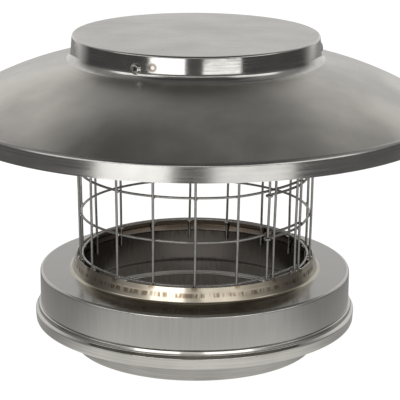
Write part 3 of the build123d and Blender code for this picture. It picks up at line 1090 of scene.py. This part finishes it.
def hang_cards(studio):
    """Bright cards beside the camera, each in a high and a low part, which the steel mirrors."""
    left = (-430 * MM, -82 * MM)
    right = (56 * MM, 426 * MM)
    low = studio.card_bottom
    split = studio.card_split
    # Each card: its two ends, its bottom and top, and its brightness; the left one is brighter low down too
    for name, (start, end), bottom, top, brightness in (
        ("left high card", left, split, 215 * MM, studio.left_card),
        ("left low card", left, low, split, studio.low_cards * 1.2),
        ("right high card", right, split, 190 * MM, studio.right_card),
        ("right low card", right, low, split, studio.low_cards),
    ):
        card = bpy.data.lights.new(name, "AREA")
        card.shape = "RECTANGLE"
        card.size = end - start
        card.size_y = top - bottom
        card.energy = brightness * math.pi * card.size * card.size_y
        lamp = new_object(name, card)
        lamp.location = ((start + end) / 2, -studio.card_distance, (top + bottom) / 2)
        lamp.rotation_euler = (math.pi / 2, 0, 0)
        lamp.visible_camera = False


def light_world(studio):
    """Studio by direction: pale wall behind, boxes and a strip in front, dim sides and roof."""
    world = bpy.data.worlds.new("studio")
    world.use_nodes = True
    bpy.context.scene.world = world
    tree = world.node_tree
    tree.nodes.clear()
    way = add_node(tree, "ShaderNodeTexCoord").outputs["Generated"]
    axes = add_node(tree, "ShaderNodeSeparateXYZ", {0: way})
    rise = add_node(tree, "ShaderNodeMath", {0: axes.outputs[2]}, operation="ARCSINE")
    off_front = from_front(tree, way)
    # Each box, in degrees: its ends off the front and their softness, the same of its height; brightness
    boxes = (
        (126, 200, 16, -90, 46, 16, studio.back_wall),
        (34, 80, 8, 12, 28, 4, studio.front_boxes),
        (-20, 44, 12, 12, 24, 5, studio.front_strip),
        (60, 126, 14, 8, 56, 14, studio.side_walls),
        (-20, 200, 8, 62, 110, 14, studio.roof),
    )
    total = studio.gloom
    for first, last, soft, bottom, top, fade, brightness in boxes:
        shape = brightness
        for value, edge, blur, start, end in (
            (off_front, first, soft, 0.0, 1.0),
            (off_front, last, soft, 1.0, 0.0),
            (rise, bottom, fade, 0.0, 1.0),
            (rise, top, fade, 1.0, 0.0),
        ):
            low, high = math.radians(edge - blur), math.radians(edge + blur)
            ends = {0: value, 1: low, 2: high, 3: start, 4: end}
            ramp = add_node(tree, "ShaderNodeMapRange", ends, interpolation_type="SMOOTHSTEP")
            shape = add_node(tree, "ShaderNodeMath", {0: shape, 1: ramp}, operation="MULTIPLY")
        total = add_node(tree, "ShaderNodeMath", {0: total, 1: shape}, operation="ADD")
    # The camera sees plain white behind the part
    camera = add_node(tree, "ShaderNodeLightPath").outputs["Is Camera Ray"]
    strength = add_node(tree, "ShaderNodeMix", {0: camera, 2: total, 3: 1.0}, data_type="FLOAT")
    light = add_node(tree, "ShaderNodeBackground", {0: (1.0, 1.0, 1.0, 1.0), 1: strength})
    add_node(tree, "ShaderNodeOutputWorld", {0: light})


def make_stage(studio):
    """Floor, camera, cards and light round the part."""
    lay_floor(studio)
    aim_camera(studio)
    hang_cards(studio)
    light_world(studio)
    bpy.context.scene.view_settings.view_transform = "Standard"


# Add-on


class CHIMNEYCAP_OT_hat(Operator):
    """Build the spun rain hat"""

    bl_idname = "chimney_cap.hat"
    bl_label = "Rain Hat"

    def execute(self, context):
        make_hat(context.scene.cap_sheet, context.scene.cap_hat)
        return {"FINISHED"}


class CHIMNEYCAP_OT_fasteners(Operator):
    """Build the rivets and dress the clips"""

    bl_idname = "chimney_cap.fasteners"
    bl_label = "Rivets and Clips"

    def execute(self, context):
        make_rivets(context.scene.cap_sheet, context.scene.cap_hat)
        dress_clips(context.scene.cap_sheet)
        return {"FINISHED"}


class CHIMNEYCAP_OT_screen(Operator):
    """Build the wire screen and its welds"""

    bl_idname = "chimney_cap.screen"
    bl_label = "Wire Screen"

    def execute(self, context):
        make_screen(context.scene.cap_sheet, context.scene.cap_screen)
        return {"FINISHED"}


class CHIMNEYCAP_OT_cover(Operator):
    """Build the base cover"""

    bl_idname = "chimney_cap.cover"
    bl_label = "Base Cover"

    def execute(self, context):
        make_cover(context.scene.cap_sheet, context.scene.cap_base, context.scene.cap_screen.cells)
        return {"FINISHED"}


class CHIMNEYCAP_OT_liner(Operator):
    """Build the flue liner"""

    bl_idname = "chimney_cap.liner"
    bl_label = "Flue Liner"

    def execute(self, context):
        make_liner(context.scene.cap_sheet, context.scene.cap_base)
        return {"FINISHED"}


class CHIMNEYCAP_OT_ring(Operator):
    """Build the locking ring"""

    bl_idname = "chimney_cap.ring"
    bl_label = "Locking Ring"

    def execute(self, context):
        make_ring(context.scene.cap_sheet, context.scene.cap_base)
        return {"FINISHED"}


class CHIMNEYCAP_OT_stage(Operator):
    """Set the floor, the light and the camera"""

    bl_idname = "chimney_cap.stage"
    bl_label = "Stage"

    def execute(self, context):
        make_stage(context.scene.cap_studio)
        return {"FINISHED"}


class CHIMNEYCAP_PT_panel(Panel):
    """Lists the pieces and their settings"""

    bl_idname = "CHIMNEYCAP_PT_panel"
    bl_label = "Chimney Cap"
    bl_space_type = "VIEW_3D"
    bl_region_type = "UI"
    bl_category = "Chimney Cap"

    def draw(self, context):
        for operator in OPERATORS:
            self.layout.operator(operator.bl_idname)
        for name, group in SETTINGS.items():
            box = self.layout.box()
            box.label(text=group.__name__.removeprefix("Cap").removesuffix("Settings"))
            for prop in group.__annotations__:
                box.prop(getattr(context.scene, name), prop)


SETTINGS = {
    "cap_sheet": CapSheetSettings,
    "cap_hat": CapHatSettings,
    "cap_screen": CapScreenSettings,
    "cap_base": CapBaseSettings,
    "cap_studio": CapStudioSettings,
}
OPERATORS = (
    CHIMNEYCAP_OT_hat,
    CHIMNEYCAP_OT_fasteners,
    CHIMNEYCAP_OT_screen,
    CHIMNEYCAP_OT_cover,
    CHIMNEYCAP_OT_liner,
    CHIMNEYCAP_OT_ring,
    CHIMNEYCAP_OT_stage,
)


def register():
    """Registers the settings, the operators and the panel."""
    for name, group in SETTINGS.items():
        bpy.utils.register_class(group)
        setattr(bpy.types.Scene, name, PointerProperty(type=group))
    for operator in OPERATORS:
        bpy.utils.register_class(operator)
    bpy.utils.register_class(CHIMNEYCAP_PT_panel)


def unregister():
    """Takes the panel, the operators and the settings away."""
    bpy.utils.unregister_class(CHIMNEYCAP_PT_panel)
    for operator in reversed(OPERATORS):
        bpy.utils.unregister_class(operator)
    for name, group in SETTINGS.items():
        delattr(bpy.types.Scene, name)
        bpy.utils.unregister_class(group)


def main():
    """Builds every piece and the stage."""
    register()
    bpy.ops.chimney_cap.hat()
    bpy.ops.chimney_cap.fasteners()
    bpy.ops.chimney_cap.screen()
    bpy.ops.chimney_cap.cover()
    bpy.ops.chimney_cap.liner()
    bpy.ops.chimney_cap.ring()
    bpy.ops.chimney_cap.stage()


if __name__ == "__main__":
    main()
